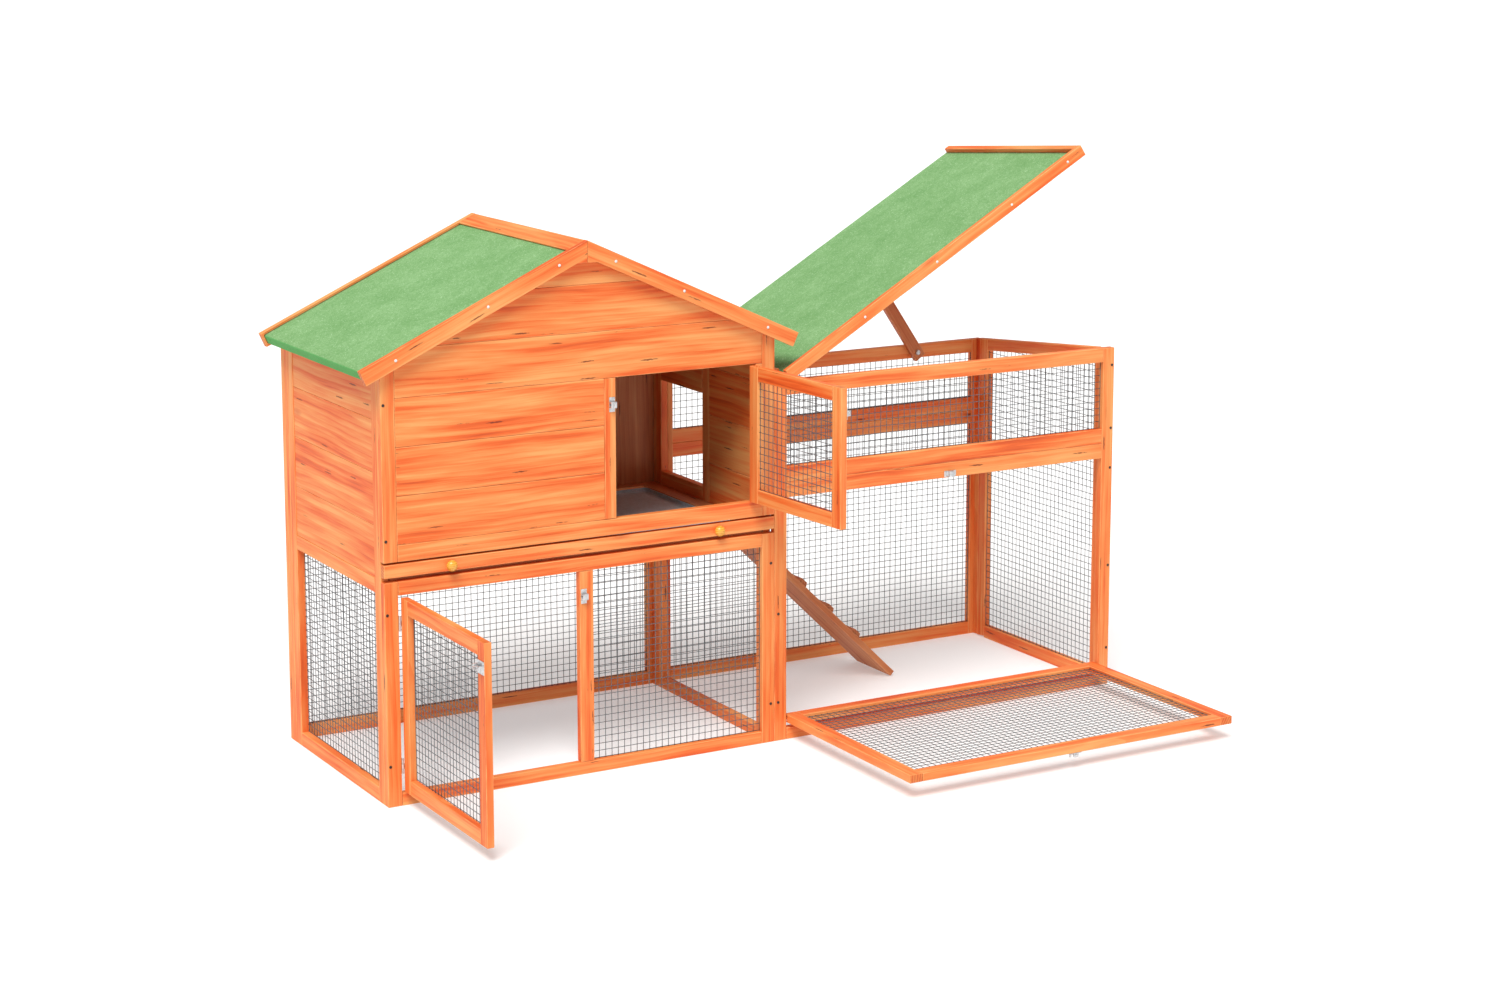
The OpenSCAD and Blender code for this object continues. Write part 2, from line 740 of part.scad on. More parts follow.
module flap_bolt_case() { color(steel) flap_bolt_place() bolt_case(); }
module flap_bolt() { color(steel) flap_bolt_place() bolt_rod(); }

module bolt_keepers() {
  color(steel) place() {
    translate([upper_open_x - 2, 0, upper_bolt_z]) mirror([1, 0, 0]) bolt_keeper();
    translate([mid_stile_x + 2, 0, lower_bolt_z]) bolt_keeper();
    translate([flap_bolt_x, 0, run_mid_z + 2]) rotate([0, -90, 0]) bolt_keeper();
  }
}

// ---- lid of the run ----

lid_pin = [house_w + 23, 663];
lid_x0 = lid_pin[0] + 3.2;
lid_x1 = total_w + 0.6;
lid_y0 = roof_y0;
lid_y1 = house_d;
lid_board_t = 8;
lid_clear = 0.4;
lid_under = 3;
lid_edge_h = 21.4;

// Swings the shut lid up about its hinge pins
module lid_raised() {
  place() translate([lid_pin[0], 0, lid_pin[1]]) rotate([0, -lid_angle, 0])
    translate([-lid_pin[0], 0, -lid_pin[1]]) children();
}
// The shut lid's own frame: x along the run, y up its slope from the front, z square to it
module lid_plane() {
  translate([0, 0, run_front_h + lid_clear]) rotate([-run_tilt, 0, 0]) children();
}
lid_sy0 = lid_y0 / cos(run_tilt);
lid_sy1 = lid_y1 / cos(run_tilt);
lid_len = lid_x1 - lid_x0;
lid_dep = lid_sy1 - lid_sy0;

module lid_board() {
  color(shade_fir) lid_raised() lid_plane() box([lid_x0, lid_sy0, 0], [lid_len, lid_dep, lid_board_t]);
}
module lid_felt() {
  color(felt_green) lid_raised() lid_plane() {
    box([lid_x0, lid_sy0, lid_board_t + 0.05], [lid_len, lid_dep, felt_t]);
    box([lid_x0, lid_sy1 + 0.1, 0], [lid_len, 1.9, lid_board_t + felt_t]);
  }
}
module lid_edging() {
  color(fir) lid_raised() lid_plane() {
    box([lid_x0, lid_sy0 - 0.1 - edge_t, -lid_under], [lid_len + edge_t + 0.1, edge_t, lid_edge_h]);
    box([lid_x1 + 0.1, lid_sy0, -lid_under], [edge_t, lid_dep + 2, lid_edge_h]);
  }
}
lid_nails_s = [185, 363.5, 553, 698];
module lid_nails() {
  color("white") lid_raised() lid_plane()
    for (x = lid_nails_s)
      translate([lid_x0 + x, 0, lid_edge_h / 2 - lid_under]) nail(lid_sy0 - 0.15 - edge_t);
}

// Batten on the house wall that the lid hangs from
ledger_x0 = house_w + 0.1;
ledger_x1 = lid_pin[0] - 4.5;
ledger_z = 655;
ledger_h = 28;
module lid_ledger() {
  color(fir) place()
    box([ledger_x0, frame_t + seam, ledger_z],
        [ledger_x1 - ledger_x0, back_y - frame_t - 2 * seam, ledger_h]);
}

lid_hinge_y = [40, 370];
lid_hinge_w = 40;
lid_eye = 12;
lid_knuckle_r = 3.2;
lid_pin_r = 1.5;
module lid_hinges() {
  color(steel) place()
    for (y = lid_hinge_y)
      translate([lid_pin[0], y, lid_pin[1]]) {
        box([-4.4, 0, -7], [1.4, lid_hinge_w, 22]);
        rotate([-90, 0, 0]) cylinder(r = lid_pin_r, h = lid_hinge_w, $fn = 32);
        for (d = [0, lid_hinge_w - lid_eye])
          translate([0, d, 0]) rotate([-90, 0, 0]) cylinder(r = lid_knuckle_r, h = lid_eye, $fn = 32);
      }
}
// The lid's halves: a knuckle and a leaf that reaches down over the end of the board
module lid_leaves() {
  w = lid_hinge_w - 2 * lid_eye - 0.8;
  color(steel) lid_raised()
    for (y = lid_hinge_y) {
      low = lid_pin[1] - run_top(y + lid_hinge_w / 2);
      translate([lid_pin[0], y + lid_eye + 0.4, lid_pin[1]]) difference() {
        union() {
          rotate([-90, 0, 0]) cylinder(r = lid_knuckle_r - 0.4, h = w, $fn = 32);
          box([1.9, 0, -low - 2], [1.2, w, low + 2]);
        }
        translate([0, -1, 0]) rotate([-90, 0, 0]) cylinder(r = lid_pin_r + pin_clear, h = w + 2, $fn = 32);
      }
    }
}

// ---- prop ----

prop_w = 25.5;
prop_t = 11;
prop_at = [1338, 606];
prop_y1 = back_y - 3.6;
prop_len = 283;
prop_tail = 14;
prop_pin_r = 3;

module prop_stick() {
  color(shade_fir) place() translate([prop_at[0], prop_y1, prop_at[1]])
    rotate([90, prop_lean - 180, 0]) linear_extrude(prop_t) difference() {
      union() {
        translate([-prop_tail, -prop_w / 2]) square([prop_tail + prop_len - prop_w / 2, prop_w]);
        translate([prop_len - prop_w / 2, 0]) circle(d = prop_w, $fn = 64);
      }
      circle(r = prop_pin_r + 0.08, $fn = 40);
    }
}
module prop_bolt() {
  color(steel) place() translate([prop_at[0], 0, prop_at[1]]) rotate([90, 0, 0]) {
    translate([0, 0, -back_y + 0.1]) cylinder(r = 5.2, h = 3.3, $fn = 40);
    translate([0, 0, -back_y + 3.3]) cylinder(r = prop_pin_r, h = prop_t + 1.3, $fn = 40);
    translate([0, 0, -prop_y1 + prop_t + 0.5]) cylinder(r1 = 5.6, r2 = 4, h = 2.6, $fn = 40);
  }
}

// ---- ramp ----

ramp_at = [764, 397.7];
ramp_y0 = 253.5;
ramp_w = 124;
ramp_top = 8;
ramp_len = 566;
cleat_n = 6;
cleat_first = 112;
cleat_pitch = 84;
cleat_w = 25;
cleat_h = 8;
ramp_pin_r = 2.5;

// The ramp's own frame: x down the board from the hinge, z square to it
module ramp_plane() {
  place() translate([ramp_at[0], ramp_y0, ramp_at[1]]) rotate([0, ramp_slope, 0]) children();
}
module ramp_board() {
  color(shade_fir) ramp_plane() difference() {
    box([-ramp_top, 0, -ramp_t / 2], [ramp_len + ramp_top, ramp_w, ramp_t]);
    translate([0, -1, 0]) rotate([-90, 0, 0]) cylinder(r = ramp_pin_r + 0.06, h = ramp_w + 2, $fn = 40);
  }
}
module ramp_cleats() {
  color(shade_fir) ramp_plane()
    for (i = [0 : cleat_n - 1])
      translate([ramp_len - cleat_first - cleat_w - i * cleat_pitch, ramp_w - 2, ramp_t / 2 + 0.05])
        rotate([90, 0, 0]) linear_extrude(ramp_w - 4)
          polygon([[0, 0], [cleat_w, 0], [cleat_w - 4, cleat_h], [5, cleat_h]]);
}
module ramp_hinge() {
  ear = 3;
  color(steel) place() {
    translate([ramp_at[0], ramp_y0 - ear - 0.5, ramp_at[1]]) rotate([-90, 0, 0])
      cylinder(r = ramp_pin_r, h = ramp_w + 2 * ear + 1, $fn = 40);
    for (y = [ramp_y0 - ear - 0.5, ramp_y0 + ramp_w + 0.5])
      difference() {
        box([house_w + 0.1, y, ramp_at[1] - 14], [ramp_at[0] - house_w + 5, ear, 24]);
        translate([ramp_at[0], y - 1, ramp_at[1]]) rotate([-90, 0, 0])
          cylinder(r = ramp_pin_r + 0.02, h = ear + 2, $fn = 40);
      }
  }
}

left_frame();
left_wall_planks();
left_mesh();
front_pen_frame();
front_pen_mesh();
back_pen_frame();
back_pen_mesh();
right_frame();
right_wall_planks();
floor_slats();
floor_trims();
front_wall_frame();
front_wall_planks();
back_wall_planks();
roof_board_left();
roof_board_right();
roof_felt();
barge_boards_front();
barge_boards_back();
ridge_strips();
white_nails();
frame_screws();
tray_front();
tray_pan();
tray_knobs();
door_hinges();
bolt_keepers();
upper_door_frame();
upper_door_mesh();
upper_door_leaves();
upper_bolt_case();
upper_bolt();
lower_door_frame();
lower_door_mesh();
lower_door_leaves();
lower_bolt_case();
lower_bolt();
run_front_frame();
run_front_mesh();
run_end_frame();
run_end_mesh();
run_back_frame();
run_back_mesh();
flap_frame();
flap_mesh();
flap_pins();
flap_bolt_case();
flap_bolt();
lid_ledger();
lid_hinges();
lid_board();
lid_felt();
lid_edging();
lid_nails();
lid_leaves();
prop_stick();
prop_bolt();
ramp_board();
ramp_cleats();
ramp_hinge();
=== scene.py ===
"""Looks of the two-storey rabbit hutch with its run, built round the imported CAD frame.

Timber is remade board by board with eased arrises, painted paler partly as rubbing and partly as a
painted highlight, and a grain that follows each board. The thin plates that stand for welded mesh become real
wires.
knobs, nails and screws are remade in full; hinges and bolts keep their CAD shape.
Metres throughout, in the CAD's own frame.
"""

import json
import math
import random

import bmesh
import bpy
import numpy as np
from mathutils import Matrix, Vector, noise


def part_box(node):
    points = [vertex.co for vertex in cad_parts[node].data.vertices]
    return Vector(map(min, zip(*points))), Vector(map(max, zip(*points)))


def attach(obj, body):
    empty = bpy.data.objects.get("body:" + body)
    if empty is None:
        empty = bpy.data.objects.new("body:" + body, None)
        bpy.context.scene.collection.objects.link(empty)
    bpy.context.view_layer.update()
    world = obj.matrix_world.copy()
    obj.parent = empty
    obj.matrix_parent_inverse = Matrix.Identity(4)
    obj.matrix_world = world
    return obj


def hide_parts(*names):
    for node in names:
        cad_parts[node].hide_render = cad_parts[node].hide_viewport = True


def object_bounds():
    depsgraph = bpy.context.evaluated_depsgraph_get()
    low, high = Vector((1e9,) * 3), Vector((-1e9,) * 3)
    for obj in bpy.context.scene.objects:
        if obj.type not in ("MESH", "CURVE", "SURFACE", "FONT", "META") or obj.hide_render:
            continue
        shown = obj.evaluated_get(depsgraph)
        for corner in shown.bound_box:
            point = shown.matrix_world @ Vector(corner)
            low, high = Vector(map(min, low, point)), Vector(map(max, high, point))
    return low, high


MM = 0.001
UP = Vector((0, 0, 1))
FRONT = Vector((0, -1, 0))

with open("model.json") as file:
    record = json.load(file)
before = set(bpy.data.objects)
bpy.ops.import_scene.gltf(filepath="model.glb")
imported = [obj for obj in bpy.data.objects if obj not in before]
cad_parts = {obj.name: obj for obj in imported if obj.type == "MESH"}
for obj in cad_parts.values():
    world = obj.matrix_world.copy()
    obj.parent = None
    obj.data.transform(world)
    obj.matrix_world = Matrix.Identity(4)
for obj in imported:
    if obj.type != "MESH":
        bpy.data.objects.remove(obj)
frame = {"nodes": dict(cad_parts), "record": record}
cad_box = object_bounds()
nodes = frame["nodes"]
body_of = {n: b for b, names in frame["record"]["behaviour"]["bodies"].items() for n in names}


# ---------------------------------------------------------------- materials


class Shader:
    """A Principled material and short calls for the nodes that drive it."""

    def __init__(self, name):
        self.material = bpy.data.materials.new(name)
        self.material.use_nodes = True
        self.tree = self.material.node_tree
        self.bsdf = self.tree.nodes["Principled BSDF"]

    def node(self, kind, inputs=None, **settings):
        made = self.tree.nodes.new("ShaderNode" + kind)
        for key, value in settings.items():
            setattr(made, key, value)
        for key, value in (inputs or {}).items():
            self.join(made.inputs[key], value)
        return made

    def join(self, socket, value):
        if isinstance(value, bpy.types.NodeSocket):
            self.tree.links.new(value, socket)
        else:
            socket.default_value = value

    def attribute(self, name, output="Vector"):
        return self.node("Attribute", attribute_name=name).outputs[output]

    def math(self, operation, *values, clamp=False):
        inputs = dict(enumerate(values))
        return self.node("Math", inputs, operation=operation, use_clamp=clamp).outputs[0]

    def vector(self, operation, *values):
        inputs = dict(enumerate(values))
        return self.node("VectorMath", inputs, operation=operation).outputs[0]

    def noise(self, vector, scale=1.0, detail=2.0, roughness=0.5, distortion=0.0):
        inputs = {
            "Vector": vector,
            "Scale": scale,
            "Detail": detail,
            "Roughness": roughness,
            "Distortion": distortion,
        }
        return self.node("TexNoise", inputs).outputs["Fac"]

    def cells(self, vector, scale=1.0, feature="F1", randomness=1.0):
        inputs = {"Vector": vector, "Scale": scale, "Randomness": randomness}
        return self.node("TexVoronoi", inputs, feature=feature).outputs

    def remap(self, value, from_min, from_max, to_min=0.0, to_max=1.0, smooth=True):
        inputs = {"Value": value, "From Min": from_min, "From Max": from_max}
        inputs |= {"To Min": to_min, "To Max": to_max}
        kind = "SMOOTHSTEP" if smooth else "LINEAR"
        return self.node("MapRange", inputs, interpolation_type=kind, clamp=True).outputs[0]

    def ramp(self, value, *stops):
        made = self.node("ValToRGB", {"Fac": value})
        elements = made.color_ramp.elements
        while len(elements) < len(stops):
            elements.new(0.5)
        for element, (place, colour) in zip(elements, stops):
            element.position = place
            element.color = (*colour, 1)
        return made.outputs["Color"]

    def mix(self, factor, first, second, blend="MIX"):
        made = self.node("Mix", data_type="RGBA", blend_type=blend)
        for socket, value in ((0, factor), (6, first), (7, second)):
            if not isinstance(value, (bpy.types.NodeSocket, float, int)):
                value = (*value, 1)
            self.join(made.inputs[socket], value)
        return made.outputs[2]

    def bump(self, height, strength, distance):
        inputs = {"Height": height, "Strength": strength, "Distance": distance}
        self.join(self.bsdf.inputs["Normal"], self.node("Bump", inputs).outputs[0])

    def set(self, **values):
        for name, value in values.items():
            self.join(self.bsdf.inputs[name.replace("_", " ")], value)
        return self.material


def srgb(red, green, blue):
    """A colour picked on a screen, as linear light."""
    return tuple(
        c / 12.92 if c <= 0.04045 else ((c + 0.055) / 1.055) ** 2.4
        for c in (red / 255, green / 255, blue / 255)
    )


def fir_material(name, pale, mid, deep, core, contrast):
    """Stained softwood: soft streaks, fine grain, cathedral lines, cracks, knots, and edges painted paler, partly
    as rubbing and partly as a painted highlight.
    """
    s = Shader(name)
    grain = s.attribute("grain")
    tint = s.node("SeparateColor", {0: s.attribute("tint", "Color")}).outputs
    wear = s.attribute("wear", "Fac")
    end = s.attribute("end", "Fac")
    drift = s.noise(s.vector("MULTIPLY", grain, (3.0, 10, 10)), detail=2)
    drift = s.math("MULTIPLY", s.math("SUBTRACT", drift, 0.5), 0.019)
    shift = s.node("CombineXYZ", {1: drift, 2: drift}).outputs[0]
    along = s.vector("ADD", grain, shift)
    bands = s.noise(s.vector("MULTIPLY", along, (3.9, 66, 36)), detail=3, roughness=0.5)
    broad = s.noise(s.vector("MULTIPLY", along, (1.8, 20, 16)), detail=2)
    fine = s.noise(s.vector("MULTIPLY", along, (13, 380, 210)), detail=3, roughness=0.6)
    pores = s.noise(s.vector("MULTIPLY", along, (85, 2300, 1500)), detail=1)
    inputs = {
        "Vector": s.vector("MULTIPLY", along, (0.9, 30, 12)),
        "Scale": 1.0,
        "Distortion": 5.5,
        "Detail": 2.0,
        "Detail Scale": 0.55,
    }
    lines = s.node("TexWave", inputs, bands_direction="Y", wave_profile="SAW").outputs["Fac"]
    value = s.math("MULTIPLY", s.math("SUBTRACT", bands, 0.5), 1.5 * contrast)
    value = s.math("MULTIPLY_ADD", s.math("SUBTRACT", broad, 0.5), 0.6 * contrast, value)
    value = s.math("MULTIPLY_ADD", s.math("SUBTRACT", fine, 0.5), 0.42, value)
    value = s.math("MULTIPLY_ADD", s.math("SUBTRACT", lines, 0.5), -0.17, value)
    value = s.math("MULTIPLY_ADD", s.math("SUBTRACT", tint[0], 0.5), 0.1, value)
    value = s.math("ADD", value, 0.56)
    colour = s.ramp(value, (0.1, core), (0.33, deep), (0.58, mid), (0.9, pale))
    hue = s.ramp(tint[1], (0, (1.0, 0.93, 0.88)), (1, (1.0, 1.05, 1.1)))
    colour = s.mix(0.35, colour, hue, "MULTIPLY")

    # short dark cracks along the grain, in a few of the cells
    crack = s.cells(s.vector("MULTIPLY", along, (17, 215, 150)))
    rare = s.node("SeparateColor", {0: crack["Color"]}).outputs
    ragged = s.noise(s.vector("MULTIPLY", grain, (160, 900, 900)), detail=2)
    reach = s.math("MULTIPLY_ADD", ragged, 0.5, crack["Distance"])
    crack = s.remap(reach, 0.4, 0.58, 1, 0)
    crack = s.math("MULTIPLY", crack, s.remap(rare[0], 0.952, 0.96))
    # knots: a dark heart and a warm ring
    knot = s.cells(s.vector("MULTIPLY", grain, (9, 26, 26)))
    scarce = s.node("SeparateColor", {0: knot["Color"]}).outputs
    keep = s.remap(scarce[1], 0.945, 0.95)
    heart = s.math("MULTIPLY", s.remap(knot["Distance"], 0.05, 0.12, 1, 0), keep)
    ring = s.math("MULTIPLY", s.remap(knot["Distance"], 0.1, 0.3, 1, 0), keep)
    colour = s.mix(s.math("MULTIPLY", ring, 0.6), colour, core)
    dark = tuple(c * 0.16 for c in core)
    mark = s.math("MAXIMUM", crack, heart)
    colour = s.mix(s.math("MULTIPLY", mark, 0.85), colour, dark)

    # arrises painted paler, partly worn by rubbing and partly a painted highlight; and end grain
    # painted highlight mixed with rubbing: the eased arris faces are lightened towards the pale tone
    wear_and_painted_highlight = s.noise(s.vector("MULTIPLY", grain, (22, 60, 60)), detail=3)
    wear_and_painted_highlight = s.math("MULTIPLY", s.remap(wear_and_painted_highlight, 0.35, 0.65, 0.15, 0.75), wear)
    colour = s.mix(wear_and_painted_highlight, colour, tuple(min(1, c * 1.08 + 0.03) for c in pale))
    rings = {"Vector": s.vector("MULTIPLY", grain, (0.2, 1, 1)), "Scale": 62.0, "Distortion": 1.5}
    rings = s.node("TexWave", rings, wave_type="RINGS", rings_direction="X").outputs["Fac"]
    cut = s.mix(rings, tuple(c * 0.6 for c in deep), tuple(c * 0.85 for c in mid))
    colour = s.mix(s.math("MULTIPLY", end, 0.7), colour, cut)

    height = s.math("MULTIPLY", fine, 0.55)
    height = s.math("MULTIPLY_ADD", pores, 0.25, height)
    height = s.math("MULTIPLY_ADD", lines, 0.12, height)
    height = s.math("MULTIPLY_ADD", mark, -0.9, height)
    s.bump(height, 0.35, 0.5 * MM)
    rough = s.math("MULTIPLY_ADD", fine, 0.22, 0.46)
    return s.set(Base_Color=colour, Roughness=rough, Specular_IOR_Level=0.45)


def felt_material():
    """Green mineral-surfaced roofing felt: fine granules over slow mottling, the top painted paler and whiter
    than the folded lip as a painted sheen of grazing light.
    """
    s = Shader("roofing_felt")
    place = s.attribute("grain")
    lip = s.attribute("wear", "Fac")
    slow = s.noise(place, 16, 4, 0.62)
    middle = s.noise(place, 95, 3, 0.6)
    granules = s.cells(place, 620)
    speck = s.node("SeparateColor", {0: granules["Color"]}).outputs
    value = s.math("MULTIPLY_ADD", slow, 0.5, s.math("MULTIPLY", middle, 0.3))
    value = s.math("MULTIPLY_ADD", speck[0], 0.28, value)
    colour = s.ramp(
        value,
        (0.26, srgb(100, 149, 88)),
        (0.52, srgb(122, 166, 107)),
        (0.82, srgb(150, 190, 136)),
    )
    pale = s.remap(speck[1], 0.93, 0.97)
    colour = s.mix(s.math("MULTIPLY", pale, 0.45), colour, srgb(190, 222, 180))
    # painted light: the folded lip takes a darker, greener tone, so the top stays paler as a painted sheen
    colour = s.mix(s.math("MULTIPLY", lip, 0.75), colour, srgb(84, 166, 88))
    height = s.math("MULTIPLY_ADD", granules["Distance"], -0.7, s.math("MULTIPLY", middle, 0.5))
    s.bump(height, 0.5, 0.7 * MM)
    rough = s.math("MULTIPLY_ADD", speck[2], 0.12, 0.84)
    return s.set(Base_Color=colour, Roughness=rough, Specular_IOR_Level=0.2)


def metal_material(name, base, metallic, roughness, variation=0.25):
    """Zinc-coated metal: spangle, faint stains and fine scratches."""
    s = Shader(name)
    place = s.node("TexCoord").outputs["Object"]
    spangle = s.node("SeparateColor", {0: s.cells(place, 260)["Color"]}).outputs[0]
    stain = s.noise(place, 34, 4, 0.6)
    scratch = s.noise(s.vector("MULTIPLY", place, (60, 900, 400)), detail=2)
    value = s.math("MULTIPLY_ADD", stain, 0.6, s.math("MULTIPLY", spangle, 0.4))
    low = tuple(c * (1 - variation) for c in base)
    high = tuple(min(1, c * (1 + variation)) for c in base)
    colour = s.ramp(value, (0.25, low), (0.75, high))
    rough = s.math("MULTIPLY_ADD", value, 0.22, roughness - 0.11)
    s.bump(s.math("MULTIPLY_ADD", scratch, 0.5, value), 0.12, 0.15 * MM)
    return s.set(Base_Color=colour, Roughness=rough, Metallic=metallic)


def knob_material():
    """Turned beech under clear lacquer, with its rings across the knob."""
    s = Shader("knob_wood")
    place = s.node("TexCoord").outputs["Object"]
    rings = {"Vector": place, "Scale": 95.0, "Distortion": 2.5, "Detail": 2.0}
    rings = s.node("TexWave", rings, bands_direction="Z").outputs["Fac"]
    fleck = s.noise(s.vector("MULTIPLY", place, (260, 900, 900)), detail=3)
    value = s.math("MULTIPLY_ADD", rings, 0.45, s.math("MULTIPLY", fleck, 0.55))
    colour = s.ramp(value, (0.2, srgb(214, 138, 36)), (0.55, srgb(240, 172, 58)),
                    (0.9, srgb(250, 196, 92)))
    s.bump(value, 0.15, 0.2 * MM)
    return s.set(Base_Color=colour, Roughness=0.34, Coat_Weight=0.35, Coat_Roughness=0.2)


def paint_material(name, base, roughness):
    """Painted or blackened head of a nail or screw, chipped a little."""
    s = Shader(name)
    place = s.node("TexCoord").outputs["Object"]
    dirt = s.noise(place, 420, 3, 0.6)
    colour = s.ramp(dirt, (0.3, tuple(c * 0.72 for c in base)), (0.62, base))
    s.bump(dirt, 0.15, 0.1 * MM)
    rough = s.math("MULTIPLY_ADD", dirt, 0.25, roughness - 0.1)
    return s.set(Base_Color=colour, Roughness=rough)


def floor_material():
    """Pale studio floor with the slightest unevenness."""
    s = Shader("studio_floor")
    place = s.node("TexCoord").outputs["Object"]
    soft = s.noise(place, 0.6, 2)
    colour = s.ramp(soft, (0.3, (0.725, 0.725, 0.725)), (0.7, (0.735, 0.735, 0.735)))
    glow = {"Emission_Color": (1, 1, 1, 1), "Emission_Strength": 0.3}
    return s.set(Base_Color=colour, Roughness=0.9, Specular_IOR_Level=0.1, **glow)


FIR = fir_material(
    "fir", (0.88, 0.37, 0.115), (0.84, 0.235, 0.054), (0.8, 0.13, 0.018), (0.6, 0.075, 0.01), 1.0
)
# a darker, duller copy of the fir: partly a plainer timber, partly painted shade for boards inside, behind or
# facing down
PLAIN_FIR_WITH_PAINTED_SHADE = fir_material(
    "plain_fir", (0.66, 0.29, 0.115), (0.57, 0.19, 0.064), (0.48, 0.12, 0.034), (0.34, 0.06, 0.014), 0.8
)
FELT = felt_material()
WIRE = metal_material("galvanised_wire", (0.13, 0.14, 0.15), 0.35, 0.5)
ZINC = metal_material("zinc_plate", (0.62, 0.63, 0.64), 0.75, 0.36)
TRAY = metal_material("tray_zinc", (0.5, 0.6, 0.67), 0.0, 0.5, 0.12)
KNOB = knob_material()
WHITE = paint_material("nail_white", (0.86, 0.85, 0.82), 0.5)
DARK = paint_material("screw_dark", (0.05, 0.028, 0.02), 0.45)


# ---------------------------------------------------------------- reading the CAD frame


def islands(node):
    """The separate solids of a CAD node, each as its points and its faces' point numbers."""
    bm = bmesh.new()
    bm.from_mesh(nodes[node].data)
    bmesh.ops.remove_doubles(bm, verts=bm.verts, dist=0.01 * MM)
    left, found = set(bm.verts), []
    while left:
        stack, island = [left.pop()], []
        while stack:
            vert = stack.pop()
            island.append(vert)
            for edge in vert.link_edges:
                other = edge.other_vert(vert)
                if other in left:
                    left.remove(other)
                    stack.append(other)
        number = {v: i for i, v in enumerate(island)}
        faces = [[number[v] for v in f.verts] for f in bm.faces if f.verts[0] in number]
        found.append(([v.co.copy() for v in island], faces))
    bm.free()
    return sorted(found, key=lambda solid: tuple(round(c, 4) for c in sum(solid[0], Vector()) / len(solid[0])))


def solids(node):
    """The corner points of each separate solid of a CAD node."""
    return [points for points, _ in islands(node)]


def as_drawn(solid):
    """A CAD solid as it is, with whole flat faces."""
    bm = bmesh.new()
    verts = [bm.verts.new(point) for point in solid[0]]
    for face in solid[1]:
        bm.faces.new([verts[i] for i in face])
    bmesh.ops.recalc_face_normals(bm, faces=bm.faces)
    bm.normal_update()
    bmesh.ops.dissolve_limit(bm, angle_limit=0.02, verts=bm.verts, edges=bm.edges)
    return bm


def convex(points):
    """The convex solid through the points, with whole flat faces."""
    bm = bmesh.new()
    for point in points:
        bm.verts.new(point)
    made = bmesh.ops.convex_hull(bm, input=bm.verts)
    spare = {v for v in made["geom_interior"] + made["geom_unused"] if isinstance(v, bmesh.types.BMVert)}
    bmesh.ops.delete(bm, geom=list(spare), context="VERTS")
    bmesh.ops.dissolve_limit(bm, angle_limit=0.02, verts=bm.verts, edges=bm.edges)
    bmesh.ops.recalc_face_normals(bm, faces=bm.faces)
    return bm


def axes(bm):
    """Middle of a board, and its directions along, across and through the thickness."""
    face = max(bm.faces, key=lambda f: f.calc_area())
    through = face.normal.copy()
    edges = [e.verts[1].co - e.verts[0].co for e in bm.edges]
    flat = [d for d in edges if abs(d.normalized().dot(through)) < 0.2]
    along = max(flat, key=lambda d: d.length).normalized()
    if along.dot(Vector((1, 0.4, 0.7))) < 0:
        along.negate()
    middle = sum((v.co for v in bm.verts), Vector()) / len(bm.verts)
    return middle, Matrix((along, through.cross(along), through))


# ---------------------------------------------------------------- building pieces


class Piece:
    """Faces gathered from many parts, with the attributes the materials read."""

    def __init__(self):
        self.points, self.faces, self.grain, self.tint = [], [], [], []
        self.wear, self.end = [], []

    def add(self, bm, place, tint=(0.5, 0.5, 0.5), wear=(), end=()):
        """Adds a bmesh. place gives a point's position in the material's own space."""
        start = len(self.points)
        bm.verts.index_update()
        for vert in bm.verts:
            self.points.append(tuple(vert.co))
            self.grain.append(tuple(place(vert.co)))
            self.tint.append((*tint, 1))
        for face in bm.faces:
            self.faces.append([start + v.index for v in face.verts])
            self.wear.append(float(face in wear))
            self.end.append(float(face in end))
        bm.free()

    def finish(self, name, body, material, replaces=(), flat_weight=True):
        mesh = bpy.data.meshes.new(name)
        mesh.from_pydata(self.points, [], self.faces)
        mesh.attributes.new("grain", "FLOAT_VECTOR", "POINT").data.foreach_set(
            "vector", np.array(self.grain, np.float32).ravel()
        )
        mesh.attributes.new("tint", "FLOAT_COLOR", "POINT").data.foreach_set(
            "color", np.array(self.tint, np.float32).ravel()
        )
        for key, values in (("wear", self.wear), ("end", self.end)):
            mesh.attributes.new(key, "FLOAT", "FACE").data.foreach_set(
                "value", np.array(values, np.float32)
            )
        mesh.polygons.foreach_set("use_smooth", [True] * len(mesh.polygons))
        mesh.materials.append(material)
        mesh.validate()
        made = bpy.data.objects.new(name, mesh)
        bpy.context.scene.collection.objects.link(made)
        if flat_weight:
            made.modifiers.new("flat_faces", "WEIGHTED_NORMAL").weight = 80
        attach(made, body)
        if replaces:
            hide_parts(*replaces)
        return made


